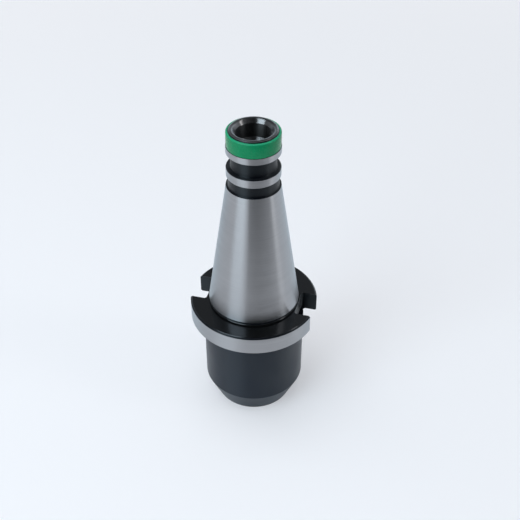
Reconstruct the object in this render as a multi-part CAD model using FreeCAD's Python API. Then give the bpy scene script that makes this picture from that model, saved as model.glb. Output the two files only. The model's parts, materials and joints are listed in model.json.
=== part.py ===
import FreeCAD, Part
import math
import os

# Weldon chuck with a No. 40 steep taper (7 in 24) and a chuck bore of 18 mm.
# Millimetres. The origin is the centre of the nose face, +Z runs up the axis to the tail,
# the drive slots lie along X and the clamp screw comes in along Y.

# Nose, which holds the cutter's shank
nose_diameter = 50.0
nose_end_diameter = 38.8
nose_cone_length = 13.0
nose_shoulder_radius = 0.6
nose_end_chamfer = 0.5
shank_diameter = 18.0
shank_bore_depth = 50.0
shank_bore_chamfer = 1.0
drill_point_half_angle = 59.0
channel_diameter = 10.0

# Flange, which the machine's drive keys turn
projection = 63.0
flange_face_offset = 1.6
flange_thickness = 10.0
flange_diameter = 63.0
flange_face_chamfer = 0.8
flange_back_chamfer = 0.6
flange_root_bevel = 1.0
slot_width = 16.1
slot_floor_from_axis = 22.5
slot_corner_radius = 1.0

# Steep taper, measured from its gauge plane, and the ground relief at its foot
gauge_diameter = 44.45
taper_per_length = 7.0 / 24.0
taper_length = 65.4
relief_depth = 0.5

# Tail, from the small end of the taper up to the rim
pilot_diameter = 25.0
pilot_edge_chamfer = 0.3
tail_groove_length = 5.4
tail_groove_diameter = 23.5
collar_length = 4.4
neck_length = 7.5
neck_diameter = 21.0
band_length = 3.3
ring_seat_length = 8.0
ring_seat_diameter = 22.6
rim_edge_radius = 1.1
rim_crest_width = 0.1

# Bevel left in the root of each turned groove
root_chamfer = 0.35

# Drawbar thread M16 in the tail, drawn at its major diameter
drawbar_thread_diameter = 16.0
drawbar_entry_diameter = 16.5
drawbar_entry_depth = 9.0
drawbar_thread_depth = 32.0
centre_half_angle = 30.0

# Colour ring, which slides over the rim onto the shoulder of the band
ring_diameter = 24.7
ring_setback = 0.8
ring_clearance = 0.05
ring_top_chamfer = 0.6

# Clamp screw M14, drawn at its major diameter, which presses on the flat of the shank
screw_diameter = 14.0
screw_length = 16.0
screw_height = 24.0
screw_clearance = 0.05
screw_standoff = 0.2
screw_end_chamfer = 1.0
screw_tip_diameter = 9.8
screw_hole_countersink = 1.6
hex_across_flats = 6.0
hex_depth = 7.0
hex_entry_chamfer = 0.4

# How far a cutting tool runs past the face that it opens
overrun = 2.0

# Heights and radii that follow from the sizes above
nose_radius = nose_diameter / 2
shank_radius = shank_diameter / 2
channel_radius = channel_diameter / 2
flange_radius = flange_diameter / 2
pilot_radius = pilot_diameter / 2
ring_seat_radius = ring_seat_diameter / 2
screw_radius = screw_diameter / 2
flange_top = projection - flange_face_offset
flange_bottom = flange_top - flange_thickness
taper_top = projection + taper_length
taper_end_radius = (gauge_diameter - taper_length * taper_per_length) / 2
collar_bottom = taper_top + tail_groove_length
collar_top = collar_bottom + collar_length
band_bottom = collar_top + neck_length
band_top = band_bottom + band_length
tail_end = band_top + ring_seat_length


def rounded_outline(corners):
    """Closed wire in the XZ plane through (x, z, corner radius), with an arc in each rounded corner."""
    starts = []
    ends = []
    arcs = []
    for index, (x, z, radius) in enumerate(corners):
        corner = FreeCAD.Vector(x, 0, z)
        if radius == 0:
            starts.append(corner)
            ends.append(corner)
            arcs.append(None)
            continue
        before = corners[index - 1]
        after = corners[(index + 1) % len(corners)]
        to_before = FreeCAD.Vector(before[0], 0, before[1]).sub(corner).normalize()
        to_after = FreeCAD.Vector(after[0], 0, after[1]).sub(corner).normalize()
        half_angle = to_before.getAngle(to_after) / 2
        run = radius / math.tan(half_angle)
        bisector = to_before.add(to_after).normalize()
        centre = corner.add(bisector * (radius / math.sin(half_angle)))
        first = corner.add(to_before * run)
        last = corner.add(to_after * run)
        starts.append(first)
        ends.append(last)
        arcs.append(Part.Arc(first, centre.sub(bisector * radius), last).toShape())
    edges = []
    for index, arc in enumerate(arcs):
        if arc is not None:
            edges.append(arc)
        following = starts[(index + 1) % len(starts)]
        if ends[index].distanceToPoint(following) > 1e-6:
            edges.append(Part.LineSegment(ends[index], following).toShape())
    return Part.Wire(edges)


def turned(corners):
    """Solid of revolution about the Z axis."""
    axis_point = FreeCAD.Vector(0, 0, 0)
    return Part.Face(rounded_outline(corners)).revolve(axis_point, FreeCAD.Vector(0, 0, 1), 360)


def drawbar_bore():
    """Wall of the drawbar's threaded hole, from the rounded rim and 60 degree centre to its drill point."""
    thread_radius = drawbar_thread_diameter / 2
    entry_radius = drawbar_entry_diameter / 2
    centre_slope = math.tan(math.radians(centre_half_angle))
    point_slope = math.tan(math.radians(drill_point_half_angle))
    rounded_run = rim_edge_radius * math.tan(math.radians((90 - centre_half_angle) / 2))
    centre_radius = ring_seat_radius - rim_edge_radius - rim_crest_width - rounded_run
    entry_foot = tail_end - drawbar_entry_depth
    thread_foot = tail_end - drawbar_thread_depth
    point_foot = thread_foot - (thread_radius - channel_radius) / point_slope
    return [
        (centre_radius, tail_end, rim_edge_radius),
        (entry_radius, tail_end - (centre_radius - entry_radius) / centre_slope, 0),
        (entry_radius, entry_foot, 0),
        (thread_radius, entry_foot - (entry_radius - thread_radius) / centre_slope, 0),
        (thread_radius, thread_foot, 0),
        (channel_radius, point_foot, 0),
        (0, point_foot, 0),
    ]


def turned_body():
    """The chuck as it leaves the lathe and the grinder, from nose face to tail rim and down its tail bore."""
    relief_radius = gauge_diameter / 2 - relief_depth
    groove_radius = tail_groove_diameter / 2
    neck_radius = neck_diameter / 2
    nose = [
        (0, 0, 0),
        (nose_end_diameter / 2 - nose_end_chamfer, 0, 0),
        (nose_end_diameter / 2, nose_end_chamfer, 0),
        (nose_radius, nose_cone_length, nose_shoulder_radius),
        (nose_radius, flange_bottom - flange_root_bevel, 0),
        (nose_radius + flange_root_bevel, flange_bottom, 0),
    ]
    flange = [
        (flange_radius - flange_back_chamfer, flange_bottom, 0),
        (flange_radius, flange_bottom + flange_back_chamfer, 0),
        (flange_radius, flange_top - flange_face_chamfer, 0),
        (flange_radius - flange_face_chamfer, flange_top, 0),
    ]
    taper = [
        (relief_radius + root_chamfer, flange_top, 0),
        (relief_radius, flange_top + root_chamfer, 0),
        (relief_radius, projection - relief_depth, 0),
        (gauge_diameter / 2, projection, 0),
        (taper_end_radius, taper_top, 0),
    ]
    collar = [
        (groove_radius + root_chamfer, taper_top, 0),
        (groove_radius, taper_top + root_chamfer, 0),
        (groove_radius, collar_bottom, 0),
        (pilot_radius - pilot_edge_chamfer, collar_bottom, 0),
        (pilot_radius, collar_bottom + pilot_edge_chamfer, 0),
        (pilot_radius, collar_top - pilot_edge_chamfer, 0),
        (pilot_radius - pilot_edge_chamfer, collar_top, 0),
    ]
    band = [
        (neck_radius + root_chamfer, collar_top, 0),
        (neck_radius, collar_top + root_chamfer, 0),
        (neck_radius, band_bottom - root_chamfer, 0),
        (neck_radius + root_chamfer, band_bottom, 0),
        (pilot_radius - pilot_edge_chamfer, band_bottom, 0),
        (pilot_radius, band_bottom + pilot_edge_chamfer, 0),
        (pilot_radius, band_top, 0),
    ]
    rim = [
        (ring_seat_radius, band_top, 0),
        (ring_seat_radius, tail_end, rim_edge_radius),
    ]
    return turned(nose + flange + taper + collar + band + rim + drawbar_bore())


def shank_bore():
    """The ground bore for the cutter's shank, open at the nose face, and its drill point."""
    point_length = (shank_radius - channel_radius) / math.tan(math.radians(drill_point_half_angle))
    mouth_radius = shank_radius + shank_bore_chamfer
    return turned([
        (0, -overrun, 0),
        (mouth_radius + overrun, -overrun, 0),
        (shank_radius, shank_bore_chamfer, 0),
        (shank_radius, shank_bore_depth, 0),
        (channel_radius, shank_bore_depth + point_length, 0),
        (0, shank_bore_depth + point_length, 0),
    ])


def channel():
    """The through channel that joins the shank bore to the drawbar thread."""
    length = tail_end - drawbar_thread_depth - shank_bore_depth
    return Part.makeCylinder(channel_radius, length, FreeCAD.Vector(0, 0, shank_bore_depth))


def drive_slot(turn):
    """Cutter for one drive slot: down through the flange and the bevel under it, but not into the nose."""
    half_width = slot_width / 2
    reach = flange_radius + overrun
    outline = rounded_outline([
        (slot_floor_from_axis, -half_width, slot_corner_radius),
        (reach, -half_width, 0),
        (reach, half_width, 0),
        (slot_floor_from_axis, half_width, slot_corner_radius),
    ])
    depth = flange_thickness + flange_root_bevel
    cutter = Part.Face(outline).extrude(FreeCAD.Vector(0, depth, 0))
    cutter.rotate(FreeCAD.Vector(0, 0, 0), FreeCAD.Vector(1, 0, 0), 90)
    cutter.translate(FreeCAD.Vector(0, 0, flange_top - depth))
    nose = Part.makeCylinder(nose_radius, flange_bottom)
    cutter = cutter.cut(nose)
    cutter.rotate(FreeCAD.Vector(0, 0, 0), FreeCAD.Vector(0, 0, 1), turn)
    return cutter


def along_screw(shape):
    """Moves a shape that was made about the Z axis onto the clamp screw's axis, with its top outwards."""
    shape.rotate(FreeCAD.Vector(0, 0, 0), FreeCAD.Vector(1, 0, 0), -90)
    shape.translate(FreeCAD.Vector(0, 0, screw_height))
    return shape


def screw_hole():
    """Cutter for the clamp screw's hole, from the chuck bore out through the nose, with a countersink."""
    hole_radius = screw_radius + screw_clearance
    sink_start = nose_radius - screw_hole_countersink
    return along_screw(turned([
        (0, 0, 0),
        (hole_radius, 0, 0),
        (hole_radius, sink_start, 0),
        (hole_radius + screw_hole_countersink + overrun, nose_radius + overrun, 0),
        (0, nose_radius + overrun, 0),
    ]))


def holder_body():
    """The chuck itself, turned, milled and ground from one piece of steel."""
    body = turned_body()
    cutters = [shank_bore(), channel(), drive_slot(0), drive_slot(180), screw_hole()]
    for cutter in cutters:
        body = body.cut(cutter)
    return body


def colour_ring():
    """The plastic ring round the tail, which sits on the shoulder of the band."""
    bore_radius = ring_seat_radius + ring_clearance
    outer_radius = ring_diameter / 2
    top = tail_end - ring_setback
    return turned([
        (bore_radius, band_top, 0),
        (outer_radius, band_top, 0),
        (outer_radius, top - ring_top_chamfer, 0),
        (outer_radius - ring_top_chamfer, top, 0),
        (bore_radius, top, 0),
    ])


def clamp_screw():
    """The headless screw with a flat tip, which stands just clear of the shank bore."""
    tip_radius = screw_tip_diameter / 2
    tip = shank_radius + screw_standoff
    head = tip + screw_length
    socket_radius = hex_across_flats / 2 / math.cos(math.radians(30))
    socket_floor = head - hex_depth
    drill_point = hex_across_flats / 2 / math.tan(math.radians(drill_point_half_angle))
    blank = turned([
        (0, tip, 0),
        (tip_radius, tip, 0),
        (screw_radius, tip + screw_radius - tip_radius, 0),
        (screw_radius, head - screw_end_chamfer, 0),
        (screw_radius - screw_end_chamfer, head, 0),
        (0, head, 0),
    ])
    corners = []
    for step in range(7):
        angle = math.radians(60 * step)
        corners.append(FreeCAD.Vector(socket_radius * math.cos(angle), socket_radius * math.sin(angle),
                                      socket_floor))
    socket = Part.Face(Part.makePolygon(corners)).extrude(FreeCAD.Vector(0, 0, hex_depth + overrun))
    entry = turned([
        (0, head - socket_radius - hex_entry_chamfer, 0),
        (socket_radius + hex_entry_chamfer + overrun, head + overrun, 0),
        (0, head + overrun, 0),
    ])
    point = turned([
        (0, socket_floor - drill_point, 0),
        (hex_across_flats / 2, socket_floor, 0),
        (0, socket_floor, 0),
    ])
    return along_screw(blank.cut(socket).cut(entry).cut(point))


parts = {
    "holder_body": holder_body(),
    "colour_ring": colour_ring(),
    "clamp_screw": clamp_screw(),
}
os.makedirs("parts", exist_ok=True)
for name, shape in parts.items():
    shape.exportStep("parts/" + name + ".step")
    box = shape.BoundBox
    print(name, "volume", round(shape.Volume, 1), "mm3, valid", shape.isValid(), "solids", len(shape.Solids),
          "height", round(box.ZMin, 3), "to", round(box.ZMax, 3))
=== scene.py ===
# %% [markdown]
# A side lock chuck for milling cutters
#
# The object is a tool holder. A cutter's shank goes into the nose, a headless screw holds it there, and
# the steep taper at the other end seats in the machine's spindle, pulled home by a threaded drawbar. The
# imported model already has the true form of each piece, so the steel body stays as it is and this script
# gives it its finish. Four things are modelled here because they are too fine for the solids: the two
# threads cut into the body, the clamp screw with its own thread, and the soft edges of the colour ring.

import json
import math

import bmesh
import bpy
from mathutils import Matrix, Quaternion, Vector


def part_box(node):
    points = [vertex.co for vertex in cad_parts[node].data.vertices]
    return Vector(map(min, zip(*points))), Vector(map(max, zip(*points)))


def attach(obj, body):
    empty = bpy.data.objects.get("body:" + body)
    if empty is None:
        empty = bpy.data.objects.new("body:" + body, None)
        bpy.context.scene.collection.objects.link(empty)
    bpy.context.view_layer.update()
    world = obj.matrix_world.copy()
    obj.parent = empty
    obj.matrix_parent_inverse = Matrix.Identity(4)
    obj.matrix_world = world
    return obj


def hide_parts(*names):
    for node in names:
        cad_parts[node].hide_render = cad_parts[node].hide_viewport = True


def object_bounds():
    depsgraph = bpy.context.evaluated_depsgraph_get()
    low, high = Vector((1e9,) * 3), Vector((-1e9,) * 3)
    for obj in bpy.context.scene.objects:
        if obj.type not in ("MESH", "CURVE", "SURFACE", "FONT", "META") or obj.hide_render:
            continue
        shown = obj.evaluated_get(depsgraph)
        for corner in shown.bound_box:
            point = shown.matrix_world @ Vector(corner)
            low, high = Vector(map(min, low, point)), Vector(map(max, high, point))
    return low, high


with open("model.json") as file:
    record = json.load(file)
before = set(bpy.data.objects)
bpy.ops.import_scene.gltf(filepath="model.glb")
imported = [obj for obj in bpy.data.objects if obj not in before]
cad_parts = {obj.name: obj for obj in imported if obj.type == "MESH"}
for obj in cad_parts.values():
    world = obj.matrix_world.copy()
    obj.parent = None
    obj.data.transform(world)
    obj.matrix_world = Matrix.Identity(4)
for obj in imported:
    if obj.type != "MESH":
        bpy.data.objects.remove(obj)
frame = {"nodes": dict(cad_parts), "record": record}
cad_low, cad_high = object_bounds()
print("pieces:", sorted(frame["nodes"]), "height:", round(cad_high.z, 4), "m")

# %% [markdown]
# The finish of the steel changes at exact places: the taper, the flange rim and two narrow lands are
# ground bright, and everything else is black. Typing those heights in again would drift from the model,
# so they are measured on the body's own mesh. A turned part is told by two numbers at each vertex, its
# height and its distance from the axis, and a land is the stretch of heights at which one radius is found.
# The whole millimetres below only say where to look, and the land itself is what is found there. Places
# nearer to each other than a hundredth of a millimetre count as the same.

# %% Measure the lands on the body
MM = 0.001
NEAR = 0.01 * MM
holder = frame["nodes"]["holder_body"]
mounts = {mount["name"]: mount for mount in frame["record"]["mounts"]}
profile = [(math.hypot(vertex.co.x, vertex.co.y), vertex.co.z) for vertex in holder.data.vertices]


def land(radius, low, high):
    """Lowest and highest place of the body's vertices at one radius, between two heights."""
    heights = [z for r, z in profile if abs(r - radius) < NEAR and low <= z <= high]
    return min(heights), max(heights)


def mount_radius(name):
    """Radius of one of the record's mounts, in metres."""
    return mounts[name]["dims"]["r_mm"] * MM


tail_end = cad_high.z
gauge_plane = mounts["steep_taper"]["pos_m"][2]
collar_height = mounts["pilot"]["pos_m"][2]
pilot_radius = mount_radius("pilot")
flange_radius = max(r for r, z in profile)
flange_land = land(flange_radius, 0, gauge_plane)
flange_top = max(z for r, z in profile if r > flange_radius - 2 * MM)
nose_radius = max(r for r, z in profile if z < flange_land[0] - 2 * MM)
collar_land = land(pilot_radius, collar_height - 3 * MM, collar_height + 3 * MM)
band_land = land(pilot_radius, collar_height + 6 * MM, tail_end)
taper_foot_radius = max(r for r, z in profile if abs(z - gauge_plane) < NEAR)
taper_end = max(z for r, z in profile if pilot_radius + 0.1 * MM < r < taper_foot_radius)
bore_radius = mount_radius("shank_bore")
bore_land = land(bore_radius, 0, gauge_plane)
drawbar_radius = mount_radius("drawbar_thread")
drawbar_land = land(drawbar_radius, gauge_plane, tail_end)
crest_radius = max(r for r, z in profile if z > tail_end - NEAR)
measured = {"shank bore": bore_land, "flange": flange_land, "taper": (gauge_plane, taper_end),
            "collar": collar_land, "band": band_land, "drawbar thread": drawbar_land}
for name, (low, high) in measured.items():
    print(f"{name:14} from {low / MM:6.2f} to {high / MM:6.2f} mm")

# %% [markdown]
# Every finish below is a small graph of nodes, and the same few nodes come back again and again. A
# helper class keeps the graphs short enough to read: each call makes a node, sets or links what it is
# given, and hands back its output.

# %% A short way to write a finish


class Finish:
    """The node graph of one material, written as calls that return sockets."""

    def __init__(self, name):
        self.material = bpy.data.materials.new(name)
        self.material.use_nodes = True
        self.tree = self.material.node_tree
        self.surface = self.tree.nodes["Principled BSDF"]

    def feed(self, socket, value):
        """Links a socket to another node's output, or sets it to a plain value."""
        if isinstance(value, bpy.types.NodeSocket):
            self.tree.links.new(value, socket)
        else:
            socket.default_value = value

    def feed_named(self, node, inputs):
        """Feeds the inputs that are named, with underscores for the spaces in their names."""
        for name, value in inputs.items():
            self.feed(node.inputs[name.replace("_", " ")], value)

    def node(self, kind, **inputs):
        """Makes a node, and sets or links the inputs that are named."""
        made = self.tree.nodes.new(kind)
        self.feed_named(made, inputs)
        return made

    def operate(self, kind, operation, values):
        """Makes a node that has an operation, and feeds its inputs in their order."""
        made = self.tree.nodes.new(kind)
        made.operation = operation
        for socket, value in zip(made.inputs, values):
            self.feed(socket, value)
        return made

    def math(self, operation, *values):
        return self.operate("ShaderNodeMath", operation, values).outputs["Value"]

    def vector(self, operation, *values):
        return self.operate("ShaderNodeVectorMath", operation, values).outputs["Vector"]

    def scalar(self, operation, *values):
        """A number worked out from vectors, such as a length or a dot product."""
        return self.operate("ShaderNodeVectorMath", operation, values).outputs["Value"]

    def step(self, value, start, end, low=0.0, high=1.0):
        """Goes smoothly from low to high as value goes from start to end."""
        made = self.tree.nodes.new("ShaderNodeMapRange")
        made.interpolation_type = "SMOOTHSTEP"
        for name, given in (("Value", value), ("From Min", start), ("From Max", end), ("To Min", low),
                            ("To Max", high)):
            self.feed(made.inputs[name], given)
        return made.outputs["Result"]

    def between(self, value, low, high, soft):
        """One where value lies between low and high, and zero outside."""
        return self.math("MULTIPLY", self.step(value, low - soft, low + soft),
                         self.step(value, high + soft, high - soft))

    def blend(self, share, first, second):
        """A number between two others."""
        return self.math("ADD", self.math("MULTIPLY", first, self.math("SUBTRACT", 1.0, share)),
                         self.math("MULTIPLY", second, share))

    def colours(self, share, first, second):
        """A colour between two others."""
        made = self.tree.nodes.new("ShaderNodeMix")
        made.data_type = "RGBA"
        colour_sockets = [socket for socket in made.inputs if socket.type == "RGBA"]
        self.feed(made.inputs["Factor"], share)
        for socket, value in zip(colour_sockets, (first, second)):
            self.feed(socket, (*value, 1) if isinstance(value, tuple) else value)
        return [socket for socket in made.outputs if socket.type == "RGBA"][0]

    def noise(self, place, scale, detail=2.0):
        """A smooth noise between 0 and 1, with about as many patches to the metre as scale says."""
        return self.node("ShaderNodeTexNoise", Vector=place, Scale=scale, Detail=detail).outputs["Fac"]

    def spread(self, noise, low, high):
        """Spreads a noise, which mostly lies between 0.3 and 0.7, over the numbers from low to high."""
        return self.step(noise, 0.3, 0.7, low, high)

    def bump(self, height, depth, under=None):
        """Raises the surface by up to depth, on top of another bump where one is given."""
        made = self.node("ShaderNodeBump", Height=height, Distance=depth, Strength=1.0)
        if under is not None:
            self.feed(made.inputs["Normal"], under)
        return made.outputs["Normal"]

    def set(self, **inputs):
        """Sets or links the named inputs of the surface, and hands back the finished material."""
        self.feed_named(self.surface, inputs)
        return self.material


# %% [markdown]
# A lathe and a grinding wheel leave marks that run round the axis. In a shader that is easiest to say
# with three values at each point: its height, its radius, and the direction in which it lies from the
# axis. A noise read at that direction alone has no seam where an angle would jump from 180 to -180
# degrees, and adding the height and radius to it, many times enlarged, squeezes it into fine rings.

# %% Read a point as a lathe sees it


def lathe_place(finish):
    """Object place, height, radius, and the direction from the axis as a vector of length one."""
    place = finish.node("ShaderNodeTexCoord").outputs["Object"]
    parts = finish.node("ShaderNodeSeparateXYZ", Vector=place)
    level = finish.node("ShaderNodeCombineXYZ", X=parts.outputs["X"], Y=parts.outputs["Y"])
    from_axis = level.outputs["Vector"]
    radius = finish.scalar("LENGTH", from_axis)
    return place, parts.outputs["Z"], radius, finish.vector("NORMALIZE", from_axis)


def turning_marks(finish, height, radius, direction, rings_per_mm, detail):
    """A noise of fine rings round the axis, that change slowly on their way round."""
    run = finish.math("MULTIPLY", finish.math("SUBTRACT", height, radius), rings_per_mm / MM)
    rise = finish.node("ShaderNodeCombineXYZ", Z=run).outputs["Vector"]
    return finish.noise(finish.vector("ADD", direction, rise), 1.0, detail)


# %% [markdown]
# The body has three finishes on one piece. The hardened steel was blackened all over, and then a grinding
# wheel took the black off where the holder has to be exact. Splitting the mesh in three would change the
# model, so one material switches between them by height and radius, with edges as sharp as the wheel
# leaves them.
#
# 1. Ground steel. The marks of the wheel pull each reflection out along the taper into long bands. That
#    is what anisotropy with a tangent round the axis does, so the bands come from the lamps and not from
#    paint.
# 2. Dull black, on the nose and in the grooves. It mirrors little when it is seen squarely and more at a
#    glance, and a thin sheen adds the pale edge that the oxide's fine grain gives it. What it mirrors
#    comes back a little blue, and on the nose it is smoother and bluer than in the grooves.
# 3. Polished black, on the flange face and round the tail's mouth, which were turned finer before they
#    were blackened. A dark film over smooth metal is a dark mirror, so it is a metal of a very dark colour.
#    On the tail's rim the polish ends just outside the crest, and the outer curve is dull.

# %% Give the body its black and ground finish


def ground_mask(finish, height, radius):
    """One on the ground surfaces, whose flat facets lie a little inside the round, and zero elsewhere."""
    soft_edge = 0.03 * MM
    facet_depth = 0.06 * MM
    stretches = [
        ((gauge_plane, taper_end - soft_edge), (pilot_radius / 2, flange_radius)),
        (flange_land, (flange_radius - facet_depth, 2 * flange_radius)),
        (collar_land, (pilot_radius - facet_depth, flange_radius)),
        (band_land, (pilot_radius - facet_depth, flange_radius)),
        (bore_land, (bore_radius - facet_depth, bore_radius + facet_depth)),
    ]
    masks = [
        finish.math("MULTIPLY", finish.between(height, *heights, soft_edge),
                    finish.between(radius, *radii, NEAR))
        for heights, radii in stretches
    ]
    mask = masks[0]
    for other in masks[1:]:
        mask = finish.math("MAXIMUM", mask, other)
    return mask


GROUND_STEEL = ((0.345, 0.354, 0.371), (0.395, 0.404, 0.421))
GROOVE_BLACK = ((0.0002, 0.0006, 0.0022), (0.0006, 0.0014, 0.0040))
NOSE_BLACK = ((0.0004, 0.0030, 0.0095), (0.0012, 0.0045, 0.0135))
FACE_BLACK = (0.085, 0.087, 0.092)
MOUTH_BLACK = (0.24, 0.24, 0.245)


def holder_finish():
    """Ground, dull black and polished black, each where the body has it."""
    finish = Finish("holder_steel_finish")
    place, height, radius, direction = lathe_place(finish)
    ground = ground_mask(finish, height, radius)
    hair_lines = turning_marks(finish, height, radius, direction, rings_per_mm=7.0, detail=3.0)
    broad_lines = turning_marks(finish, height, radius, direction, rings_per_mm=0.9, detail=2.0)
    clouds = finish.noise(place, 70.0, 3.0)

    bright_steel = finish.colours(finish.step(hair_lines, 0.25, 0.75), *GROUND_STEEL)
    ground_rough = finish.spread(broad_lines, 0.30, 0.36)

    nose = finish.step(height, flange_land[0], flange_land[0] - 2 * MM)
    black = finish.colours(nose, finish.colours(clouds, *GROOVE_BLACK), finish.colours(clouds, *NOSE_BLACK))
    smoother = finish.math("MULTIPLY", nose, 0.07)
    black_rough = finish.math("SUBTRACT", finish.spread(clouds, 0.44, 0.50), smoother)

    face = finish.between(height, flange_top - 0.1 * MM, flange_top + 0.1 * MM, 0.05 * MM)
    polish_foot = drawbar_land[1] - MM
    polish_rim = crest_radius + 0.45 * MM
    mouth = finish.math("MULTIPLY", finish.step(height, polish_foot, polish_foot + 0.1 * MM),
                        finish.step(radius, polish_rim + 0.5 * MM, polish_rim))
    for area, colour, roughness in ((face, FACE_BLACK, 0.12), (mouth, MOUTH_BLACK, 0.30)):
        black = finish.colours(area, black, colour)
        black_rough = finish.blend(area, black_rough, roughness)
    polished = finish.math("MAXIMUM", face, mouth)

    tangent = finish.node("ShaderNodeTangent")
    tangent.direction_type = "RADIAL"
    tangent.axis = "Z"
    return finish.set(
        Base_Color=finish.colours(ground, black, bright_steel),
        Metallic=finish.math("MAXIMUM", ground, polished),
        Roughness=finish.blend(ground, black_rough, ground_rough),
        Specular_IOR_Level=0.44,
        Specular_Tint=(0.82, 0.94, 1.0, 1),
        Sheen_Weight=0.26,
        Sheen_Roughness=0.35,
        Sheen_Tint=(0.9, 0.95, 1.0, 1),
        Anisotropic=0.9,
        Anisotropic_Rotation=0.25,
        Tangent=tangent.outputs["Tangent"],
        Normal=finish.bump(hair_lines, 0.0006 * MM, finish.bump(clouds, 0.001 * MM)),
    )


holder_steel = holder_finish()
holder.data.materials[0] = holder_steel
print("body finish:", holder_steel.name, "with", len(holder_steel.node_tree.nodes), "nodes")

# %% [markdown]
# The colour ring tells the size of the holder at a glance. It is moulded plastic with soft edges. A
# rectangle spun round the axis is its whole form, and bevelling its rings of edges afterwards gives each
# its own radius, as the mould does: wide at the top, where fingers push it over the rim, small at the
# foot, and a mere trace at the top of the bore. The spin closes on itself, so its first and last slices
# are merged.

# %% Make the colour ring
ring_solid = frame["nodes"]["colour_ring"]
ring_low, ring_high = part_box("colour_ring")
ring_outer = ring_high.x
ring_inner = min(vertex.co.xy.length for vertex in ring_solid.data.vertices)
RING_SLICES = 128
TOP_ROUND = 0.7 * MM
FOOT_ROUND = 0.3 * MM
BORE_ROUND = 0.08 * MM
SAME_POINT = 0.0005 * MM
SHARP_ANGLE = math.radians(32)


def finished(name, bm):
    """Turns a bmesh into an object of the scene, shaded smooth, with its faces outwards."""
    bmesh.ops.remove_doubles(bm, verts=bm.verts, dist=SAME_POINT)
    bmesh.ops.recalc_face_normals(bm, faces=bm.faces)
    for face in bm.faces:
        face.smooth = True
    mesh = bpy.data.meshes.new(name)
    bm.to_mesh(mesh)
    bm.free()
    mesh.set_sharp_from_angle(angle=SHARP_ANGLE)
    made = bpy.data.objects.new(name, mesh)
    bpy.context.scene.collection.objects.link(made)
    print(name, len(mesh.polygons), "faces")
    return made


def outline(bm, points, closed=False):
    """Vertices in the plane of X and Z through (radius, height) points, with the edges between them."""
    vertices = [bm.verts.new((radius, 0, height)) for radius, height in points]
    edges = [bm.edges.new(pair) for pair in zip(vertices, vertices[1:])]
    if closed:
        edges.append(bm.edges.new((vertices[-1], vertices[0])))
    return vertices + edges


def soften(bm, radius, height, width, segments):
    """Rounds the ring of edges that lies at one radius and height."""
    edges = [
        edge for edge in bm.edges
        if all(abs(end.co.z - height) < NEAR and abs(end.co.xy.length - radius) < NEAR for end in edge.verts)
    ]
    bmesh.ops.bevel(bm, geom=edges, offset=width, affect="EDGES", segments=segments, profile=0.5,
                    material=-1)


bm = bmesh.new()
section = outline(bm, [(ring_inner, ring_low.z), (ring_outer, ring_low.z), (ring_outer, ring_high.z),
                       (ring_inner, ring_high.z)], closed=True)
bmesh.ops.spin(bm, geom=section, cent=(0, 0, 0), axis=(0, 0, 1), angle=math.tau, steps=RING_SLICES,
               use_merge=True)
soften(bm, ring_outer, ring_high.z, TOP_ROUND, segments=6)
soften(bm, ring_outer, ring_low.z, FOOT_ROUND, segments=4)
soften(bm, ring_inner, ring_high.z, BORE_ROUND, segments=2)
ring = finished("ring_moulded", bm)
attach(ring, "holder")
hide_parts("colour_ring")

# %% [markdown]
# Glossy plastic is a coloured body under a clear skin, and the shader's own specular layer is that skin.
# Moulded plastic is never quite even: the skin has a slow waviness that only shows where a lamp glances
# off it, and the colour varies by a few parts in a hundred. Round its top edge the green is painted paler,
# a painted highlight that stands for the lamp's glint on the rounded edge.

# %% Give the ring its plastic
RING_GREEN = ((0.0012, 0.200, 0.076), (0.0016, 0.225, 0.089))
# The paler green is a painted highlight for the ring's rounded top edge.
PAINTED_HIGHLIGHT_GREEN = (0.022, 0.320, 0.160)


def ring_finish():
    """Green plastic, with a painted highlight round the top edge."""
    finish = Finish("ring_plastic_finish")
    place, height = lathe_place(finish)[:2]
    clouds = finish.noise(place, 120.0)
    grain = finish.noise(place, 2500.0)
    # Painted highlight: the top edge of the ring is given the paler green.
    edge = finish.step(height, ring_high.z - 0.6 * MM, ring_high.z - 0.15 * MM)
    return finish.set(
        Base_Color=finish.colours(edge, finish.colours(clouds, *RING_GREEN), PAINTED_HIGHLIGHT_GREEN),
        Roughness=finish.spread(grain, 0.22, 0.30),
        Specular_IOR_Level=0.18,
        Normal=finish.bump(grain, 0.0003 * MM, finish.bump(clouds, 0.02 * MM)),
    )


ring.data.materials.append(ring_finish())

# %% [markdown]
# A thread is one tooth carried round and along at once. Spin does exactly that when it is given a step
# along the axis for each step round it: the tooth's outline goes round the axis many times and rises by
# one pitch in each turn. Inside a hole the tooth is a ridge of steel that stands in from the wall, so
# its foot is set a little into the wall, where it can't be seen, and the body needs no change. The drill
# opens a hole's mouth with a cone before the tap cuts the thread, so near the mouth no ridge may reach
# in past that cone: each vertex is moved out to it. A metric thread's form follows from its pitch: the
# flanks lean by 30 degrees, and an inside ridge is 0.54 of the pitch high, with a crest a quarter of the
# pitch wide.

# %% Cut the drawbar's thread into the tail
PITCH = 2.0 * MM
THREAD_STEPS = 48
FLANK = math.tan(math.radians(30))
INSIDE_DEPTH = 0.54125 * PITCH
FOOT_IN_WALL = 0.05 * MM


def wind(bm, section, steps):
    """Spins a section round Z in short steps, and lifts it by one pitch in each turn."""
    bmesh.ops.spin(bm, geom=section, cent=(0, 0, 0), axis=(0, 0, 1), dvec=(0, 0, PITCH / THREAD_STEPS),
                   angle=math.tau * steps / THREAD_STEPS, steps=steps)


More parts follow.
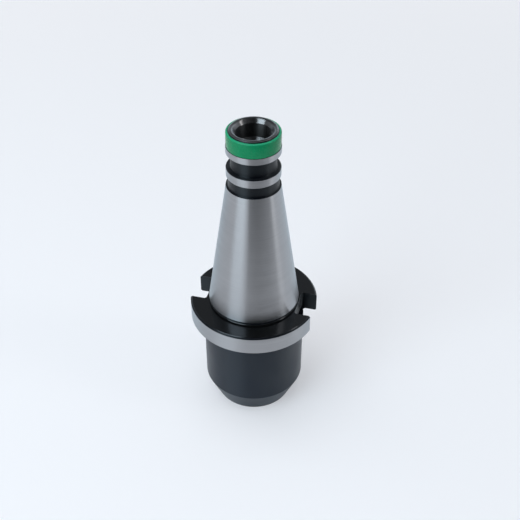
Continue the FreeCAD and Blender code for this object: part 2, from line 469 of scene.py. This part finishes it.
def thread_inside(major_radius, minor_radius, start, mouth, mouth_slope, play):
    """Ridge of an inside thread along Z from start to mouth, with play taken off its flanks."""
    foot_radius = major_radius + FOOT_IN_WALL
    crest_half = PITCH / 8 - play
    foot_half = crest_half + (foot_radius - minor_radius) * FLANK
    bm = bmesh.new()
    tooth = outline(bm, [(foot_radius, start - foot_half), (minor_radius, start - crest_half),
                         (minor_radius, start + crest_half), (foot_radius, start + foot_half)], closed=True)
    wind(bm, tooth, math.ceil((mouth - start) / PITCH * THREAD_STEPS))
    bmesh.ops.holes_fill(bm, edges=[edge for edge in bm.edges if edge.is_boundary], sides=0)
    for vertex in bm.verts:
        least = foot_radius - max(0, mouth - vertex.co.z) * mouth_slope
        reach = vertex.co.xy.length
        if reach < least:
            vertex.co.xy *= least / reach
    return bm


bm = thread_inside(drawbar_radius, drawbar_radius - INSIDE_DEPTH, start=drawbar_land[0] + PITCH / 2,
                   mouth=drawbar_land[1], mouth_slope=FLANK, play=0)
drawbar_thread = finished("thread_drawbar", bm)
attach(drawbar_thread, "holder")
drawbar_thread.data.materials.append(holder_steel)

# %% [markdown]
# The clamp screw's hole has a thread of the same pitch, across the nose. It is made upright like the other
# one and then laid into the hole as a whole, so that one function serves both. Its flanks are a little
# slimmer than the form allows: a real thread has such play too, and the screw's teeth stand in its gaps
# without touching.

# %% Cut the thread of the clamp screw's hole
screw_low, screw_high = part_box("clamp_screw")
screw_radius = (screw_high.z - screw_low.z) / 2
screw_height = (screw_high.z + screw_low.z) / 2
tip, head = screw_low.y, screw_high.y
to_screw = Matrix.Translation((0, 0, screw_height)) @ Matrix.Rotation(math.radians(-90), 4, "X")
print(f"screw from {tip / MM:.2f} to {head / MM:.2f} mm, radius {screw_radius / MM:.2f} mm")

PLAY = 0.05 * MM
COUNTERSINK = 1.6 * MM
bm = thread_inside(screw_radius + PLAY, screw_radius - INSIDE_DEPTH, start=tip + PITCH / 2,
                   mouth=nose_radius - COUNTERSINK, mouth_slope=1.0, play=PLAY)
bmesh.ops.transform(bm, matrix=to_screw, verts=bm.verts)
hole_thread = finished("thread_screw_hole", bm)
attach(hole_thread, "holder")
hole_thread.data.materials.append(holder_steel)

# %% [markdown]
# The clamp screw has the same thread on its outside, half a pitch further on, so that its teeth stand
# in the gaps of the hole's. An outside thread is 0.61 of the pitch deep and its crest an eighth of the
# pitch wide. Here the outline of one pitch is left open, and the turns join to one winding wall when
# doubles are merged. Two planes cut the wall to length. Then the screw is finished as on a lathe: no
# vertex may stand out past the chamfers at its ends. The head's open edge is extruded inwards step by
# step, to the mouth of the socket, onto the hexagon, down its walls, and to the point that the drill
# left. The tip is closed the same way.

# %% Make the clamp screw
OUTSIDE_DEPTH = 0.61345 * PITCH
ON_PLANE = 0.0001 * MM
ACROSS_FLATS = 6.0 * MM
SOCKET_DEPTH = 7.0 * MM
SOCKET_CHAMFER = 0.3 * MM
DRILL_RADIUS = 2.7 * MM
DRILL_POINT = 1.5 * MM
TIP_RADIUS = 4.9 * MM
HEAD_CHAMFER = 1.0 * MM


def hexagon_radius(angle):
    """Distance from the axis to a hexagon's side, in the direction of an angle."""
    sixth = math.tau / 6
    return ACROSS_FLATS / 2 / math.cos((angle + sixth / 2) % sixth - sixth / 2)


def extrude_rim(bm, rim, place):
    """Extrudes an open rim and moves each new vertex to place(angle), a radius and a height."""
    made = bmesh.ops.extrude_edge_only(bm, edges=rim)["geom"]
    for vertex in (item for item in made if isinstance(item, bmesh.types.BMVert)):
        angle = math.atan2(vertex.co.y, vertex.co.x)
        radius, height = place(angle)
        vertex.co = (radius * math.cos(angle), radius * math.sin(angle), height)
    return [item for item in made if isinstance(item, bmesh.types.BMEdge) and item.is_boundary]


def blank_radius(height):
    """How far the turned blank reaches out at a height, with its tip cone and head chamfer."""
    return min(screw_radius, TIP_RADIUS + height - tip, screw_radius - HEAD_CHAMFER + head - height)


bm = bmesh.new()
root_radius = screw_radius - OUTSIDE_DEPTH
crest_half = PITCH / 16
root_half = crest_half + OUTSIDE_DEPTH * FLANK
start = tip - PITCH
middle = start + PITCH / 2
one_pitch = outline(bm, [(root_radius, start), (root_radius, middle - root_half),
                         (screw_radius, middle - crest_half), (screw_radius, middle + crest_half),
                         (root_radius, middle + root_half), (root_radius, start + PITCH)])
wind(bm, one_pitch, math.ceil((head - start) / PITCH + 1) * THREAD_STEPS)
bmesh.ops.remove_doubles(bm, verts=bm.verts, dist=SAME_POINT)
for height, is_head in ((tip, False), (head, True)):
    bmesh.ops.bisect_plane(bm, geom=bm.verts[:] + bm.edges[:] + bm.faces[:], dist=ON_PLANE,
                           plane_co=(0, 0, height), plane_no=(0, 0, 1), clear_outer=is_head,
                           clear_inner=not is_head)
for vertex in bm.verts:
    most = blank_radius(vertex.co.z)
    reach = vertex.co.xy.length
    if reach > most:
        vertex.co.xy *= most / reach
rims = [edge for edge in bm.edges if edge.is_boundary]
tip_rim = [edge for edge in rims if edge.verts[0].co.z < (tip + head) / 2]
head_rim = [edge for edge in rims if edge.verts[0].co.z > (tip + head) / 2]
extrude_rim(bm, tip_rim, lambda angle: (0, tip))
hexagon_corner = math.tau / 12
socket_mouth = hexagon_radius(hexagon_corner) + SOCKET_CHAMFER
socket_floor = head - SOCKET_DEPTH
steps_inwards = [
    lambda angle: (socket_mouth, head),
    lambda angle: (hexagon_radius(angle), head - socket_mouth + hexagon_radius(angle)),
    lambda angle: (hexagon_radius(angle), socket_floor),
    lambda angle: (DRILL_RADIUS, socket_floor),
    lambda angle: (0, socket_floor - DRILL_POINT),
]
rim = head_rim
for place in steps_inwards:
    rim = extrude_rim(bm, rim, place)
bmesh.ops.transform(bm, matrix=to_screw, verts=bm.verts)
screw = finished("screw_threaded", bm)
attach(screw, "screw")
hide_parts("clamp_screw")

# %% [markdown]
# The screw is bought in with its own black oxide, a thin skin that keeps a little of the steel's mirror
# under it. A plain dark paint would look like plastic, so the surface is part metal, and a fine grain
# breaks up its highlights.

# %% Give the screw its black oxide
SCREW_BLACK = ((0.006, 0.0065, 0.008), (0.014, 0.015, 0.017))


def screw_finish():
    """Black oxide on a bought screw."""
    finish = Finish("screw_steel_finish")
    place = finish.node("ShaderNodeTexCoord").outputs["Object"]
    clouds = finish.noise(place, 180.0, 3.0)
    grain = finish.noise(place, 3000.0)
    return finish.set(
        Base_Color=finish.colours(clouds, *SCREW_BLACK),
        Metallic=0.4,
        Roughness=finish.spread(grain, 0.30, 0.42),
        Normal=finish.bump(grain, 0.002 * MM),
    )


screw.data.materials.append(screw_finish())

# %% [markdown]
# The floor is pale and plain. Part of its look comes from light and part is a painted glow of its own
# colour, for the rays that reach the camera or a mirror: that keeps it near white and keeps the soft
# shadow, with no more light on the object. The glow is painted stronger further out, so the far floor is
# brighter than the lamps alone make it. The steel mirrors the floor further out, which is fully lit and
# glows strongly, but the cone under the nose mirrors the floor at its own foot, so there the glow falls
# to let the shadow in.

# %% Lay the floor
FLOOR_COLOUR = (0.925, 0.945, 0.99)
FLOOR_RADIUS = 6.0
FLOOR_GAP = 0.1 * MM
FOOT_SHADOW = 60 * MM
bm = bmesh.new()
bmesh.ops.create_circle(bm, cap_ends=True, segments=96, radius=FLOOR_RADIUS)
bmesh.ops.translate(bm, verts=bm.verts, vec=(0, 0, -FLOOR_GAP))
floor = finished("floor", bm)


def floor_finish():
    """A matt floor with a painted glow of its colour for the camera and mirrors, more of it further out."""
    finish = Finish("floor_finish")
    reach = lathe_place(finish)[2]
    rays = finish.node("ShaderNodeLightPath").outputs
    mirrors = finish.math("MAXIMUM", rays["Is Glossy Ray"], rays["Is Transmission Ray"])
    # Painted glow: the floor's own colour given straight to mirror and camera rays, stronger further out.
    painted_glow_for_mirrors = finish.step(reach, nose_radius, nose_radius + FOOT_SHADOW, 0.15, 0.9)
    painted_glow_for_camera = finish.step(reach, 0.05, 1.2, 0.42, 1.0)
    mirrored = finish.math("MULTIPLY", mirrors, painted_glow_for_mirrors)
    seen = finish.math("MULTIPLY", rays["Is Camera Ray"], painted_glow_for_camera)
    finish.set(Base_Color=(*FLOOR_COLOUR, 1), Roughness=1.0, Specular_IOR_Level=0.0)
    glow = finish.node("ShaderNodeEmission", Color=(*FLOOR_COLOUR, 1), Strength=1.0)
    both = finish.node("ShaderNodeMixShader")
    finish.feed(both.inputs[0], finish.math("MAXIMUM", seen, mirrored))
    finish.feed(both.inputs[1], finish.surface.outputs["BSDF"])
    finish.feed(both.inputs[2], glow.outputs["Emission"])
    finish.feed(finish.tree.nodes["Material Output"].inputs["Surface"], both.outputs[0])
    return finish.material


floor.data.materials.append(floor_finish())

# %% [markdown]
# Polished metal shows its surroundings more than itself, so the studio is built for what the holder
# mirrors. A large window light at the left of the camera draws the broad bright band on the taper, and a
# narrow strip at the right draws the thin one. Both also stand as bright spots in the dark mirror of the
# tail's mouth. A wide lamp above the left side lays the soft shadow to the right; it isn't mirrored in
# the steel, because the tail's mouth faces up and would turn white. Blender spreads a lamp's energy over
# its area, so each lamp is given by its brightness here, and the energy is worked out from its size.

# %% Light the studio
VIEW_AZIMUTH = 14.68
STAGE_CENTRE = Vector((0, 0, 0.08))


def toward(azimuth, elevation):
    """Unit vector from the object to a place round it, with azimuth 0 at the camera, in degrees."""
    turn = math.radians(VIEW_AZIMUTH + azimuth)
    lift = math.radians(elevation)
    return Vector((math.sin(turn) * math.cos(lift), -math.cos(turn) * math.cos(lift), math.sin(lift)))


def soft_light(name, azimuth, elevation, distance, width, height, radiance, colour):
    """A rectangular lamp that faces the object, with a brightness where 1 is white."""
    data = bpy.data.lights.new(name, "AREA")
    data.shape = "RECTANGLE"
    data.size = width
    data.size_y = height
    data.energy = radiance * math.pi * width * height
    data.color = colour
    made = bpy.data.objects.new(name, data)
    bpy.context.scene.collection.objects.link(made)
    back = toward(azimuth, elevation)
    made.location = STAGE_CENTRE + back * distance
    made.rotation_mode = "QUATERNION"
    made.rotation_quaternion = (-back).to_track_quat("-Z", "Y")
    return made


soft_light("window_left", azimuth=-45.5, elevation=28, distance=1.1, width=0.68, height=1.0, radiance=3.2,
           colour=(0.78, 0.92, 1.0))
soft_light("strip_right", azimuth=74, elevation=28, distance=1.1, width=0.18, height=0.9, radiance=2.8,
           colour=(1.0, 0.98, 0.96))
overhead = soft_light("overhead", azimuth=-90, elevation=76, distance=1.3, width=1.2, height=1.2,
                      radiance=2.5, colour=(0.98, 0.99, 1.0))
overhead.visible_glossy = False

# %% [markdown]
# Between the lamps the steel mirrors the room. A photograph of a room could be wrapped round the scene,
# but two smooth falls of brightness do the same and need no file: the room is pale at eye level and dark
# above, which keeps the flange face black, and it is paler behind the object than in front of it. The
# camera itself sees a plain backdrop of the floor's colour.

# %% Build the room that the steel mirrors
ROOM_COLOUR = (0.90, 0.95, 1.0)
PALE_AZIMUTH = 150


def studio_world():
    """A room for the mirrors, with a brightness that changes by height and side, and a plain backdrop."""
    world = bpy.data.worlds.new("studio")
    world.use_nodes = True
    tree = world.node_tree
    look = tree.nodes.new("ShaderNodeTexCoord").outputs["Generated"]
    parts = tree.nodes.new("ShaderNodeSeparateXYZ")
    behind = tree.nodes.new("ShaderNodeVectorMath")
    behind.operation = "DOT_PRODUCT"
    behind.inputs[1].default_value = toward(PALE_AZIMUTH, 0)
    strength = tree.nodes.new("ShaderNodeMath")
    strength.operation = "MULTIPLY"
    tree.links.new(look, parts.inputs["Vector"])
    tree.links.new(look, behind.inputs[0])
    by_height = {"From Min": 0.2, "From Max": 0.5, "To Min": 1.0, "To Max": 0.17}
    by_side = {"From Min": 0.2, "From Max": 1.0, "To Min": 0.55, "To Max": 1.45}
    falls = ((parts.outputs["Z"], by_height), (behind.outputs["Value"], by_side))
    for factor, (source, ends) in zip(strength.inputs, falls):
        fall = tree.nodes.new("ShaderNodeMapRange")
        fall.interpolation_type = "SMOOTHSTEP"
        for name, value in ends.items():
            fall.inputs[name].default_value = value
        tree.links.new(source, fall.inputs["Value"])
        tree.links.new(fall.outputs["Result"], factor)
    room = tree.nodes["Background"]
    room.inputs["Color"].default_value = (*ROOM_COLOUR, 1)
    tree.links.new(strength.outputs["Value"], room.inputs["Strength"])
    plain = tree.nodes.new("ShaderNodeBackground")
    plain.inputs["Color"].default_value = (*FLOOR_COLOUR, 1)
    both = tree.nodes.new("ShaderNodeMixShader")
    tree.links.new(tree.nodes.new("ShaderNodeLightPath").outputs["Is Camera Ray"], both.inputs[0])
    tree.links.new(room.outputs["Background"], both.inputs[1])
    tree.links.new(plain.outputs["Background"], both.inputs[2])
    tree.links.new(both.outputs[0], tree.nodes["World Output"].inputs["Surface"])
    return world


bpy.context.scene.world = studio_world()

# %% [markdown]
# The taper has a dark middle, and a dark middle in a mirror is something dark that stands in front of it.
# Photographers of shiny tools set up a black card there, and so does this scene. Only reflections see
# it: it lays no shadow and takes no light away. It is a little paler on its right, as the taper is there.

# %% Stand up the dark card
CARD_AZIMUTH = 22.5
CARD_DISTANCE = 0.25
CARD_WIDTH = 0.44
CARD_HEIGHT = 0.6
stand_up = Matrix.Rotation(math.radians(90), 3, "X")
face_object = Matrix.Rotation(math.radians(VIEW_AZIMUTH + CARD_AZIMUTH), 3, "Z")
bm = bmesh.new()
bmesh.ops.create_grid(bm, x_segments=1, y_segments=1, size=0.5)
bmesh.ops.scale(bm, vec=(CARD_WIDTH, CARD_HEIGHT, 1), verts=bm.verts)
bmesh.ops.rotate(bm, matrix=stand_up, verts=bm.verts)
bmesh.ops.translate(bm, vec=(0, 0, CARD_HEIGHT / 2 + MM), verts=bm.verts)
bmesh.ops.rotate(bm, matrix=face_object, verts=bm.verts)
bmesh.ops.translate(bm, vec=toward(CARD_AZIMUTH, 0) * CARD_DISTANCE, verts=bm.verts)
card = finished("dark_card", bm)


def card_finish():
    """Black on the card's left, and dark grey towards its right."""
    finish = Finish("dark_card_finish")
    place = finish.node("ShaderNodeTexCoord").outputs["Object"]
    across = finish.scalar("DOT_PRODUCT", place, toward(CARD_AZIMUTH + 90, 0))
    return finish.set(Base_Color=finish.step(across, -0.1, 0.2, 0.03, 0.25), Roughness=1.0)


card.data.materials.append(card_finish())
card.visible_camera = False
card.visible_diffuse = False
card.visible_shadow = False

# %% [markdown]
# The camera stands where the photographer stood: a third of a metre above the floor, as far from the
# axis, and looking down at the middle of the taper. A lens a little longer than normal keeps the taper
# from flaring towards the viewer.

# %% Set the camera
CAMERA_REACH = 0.3346
CAMERA_HEIGHT = 0.3537
AIM_HEIGHT = 0.0840
AIM_RIGHT = 0.0030
ROLL = math.radians(0.2)
FILM_WIDTH_MM = 36
LENS_MM = 61.52
camera_data = bpy.data.cameras.new("camera")
camera_data.sensor_width = FILM_WIDTH_MM
camera_data.lens = LENS_MM
camera = bpy.data.objects.new("camera", camera_data)
bpy.context.scene.collection.objects.link(camera)
camera.location = toward(0, 0) * CAMERA_REACH + Vector((0, 0, CAMERA_HEIGHT))
aim = toward(90, 0) * AIM_RIGHT + Vector((0, 0, AIM_HEIGHT))
camera.rotation_mode = "QUATERNION"
camera.rotation_quaternion = (aim - camera.location).to_track_quat("-Z", "Y") @ Quaternion((0, 0, 1), ROLL)
bpy.context.scene.camera = camera
bpy.context.scene.view_settings.view_transform = "Standard"
